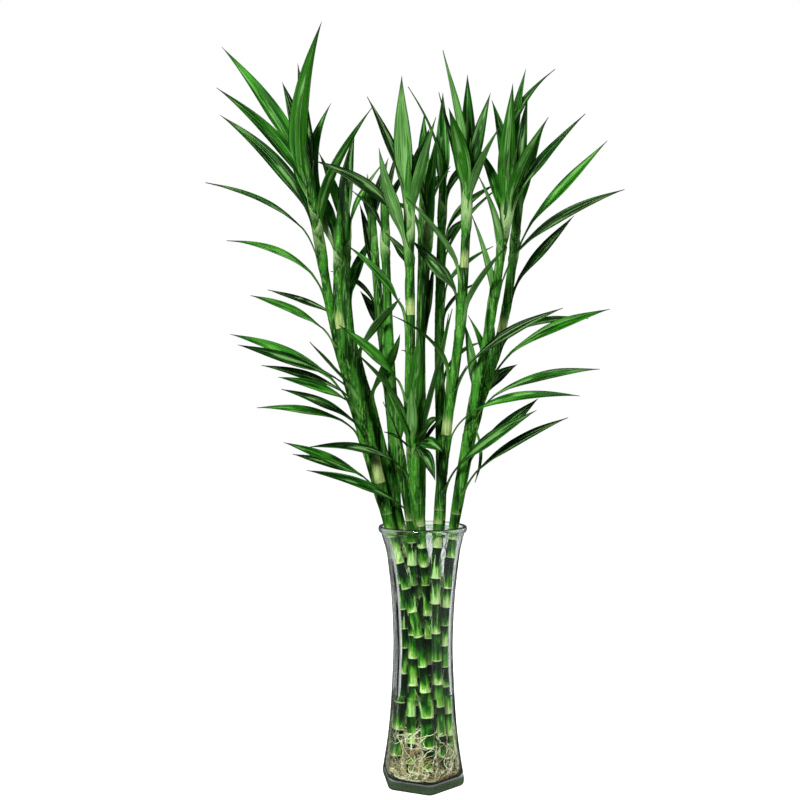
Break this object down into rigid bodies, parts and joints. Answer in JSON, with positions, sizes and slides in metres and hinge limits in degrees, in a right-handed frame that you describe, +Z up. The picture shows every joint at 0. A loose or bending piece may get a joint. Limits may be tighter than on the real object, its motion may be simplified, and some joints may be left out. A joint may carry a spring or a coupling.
{
  "type": "lucky bamboo in a glass vase",
  "caption": "Tall bunch of green leafy lucky bamboo stems with roots, standing in water in a six-sided clear glass vase with a flared round mouth.",
  "frame": {"origin": "middle of the flat foot of the vase, on the surface it stands on", "axes": "+Z up along the vase, -Y to the front of the bunch, +X to its right seen from the front"},
  "size_m": [0.485, 0.255, 0.873],
  "materials": {
    "glass": "clear polished glass, faintly green where it is thick",
    "water": "clear water",
    "root": "wet fibrous roots, tan with redder spots",
    "leafy_stem": "satin green leaves and canes with paler ringed bands"
  },
  "bodies": {
    "root": {"vase": "glass", "water": "water", "roots": "root", "stem_01": "leafy_stem", "stem_02": "leafy_stem", "stem_03": "leafy_stem", "stem_04": "leafy_stem", "stem_05": "leafy_stem", "stem_06": "leafy_stem", "stem_07": "leafy_stem", "stem_08": "leafy_stem", "stem_09": "leafy_stem", "stem_10": "leafy_stem", "stem_11": "leafy_stem", "stem_12": "leafy_stem"}
  },
  "joints": []
}
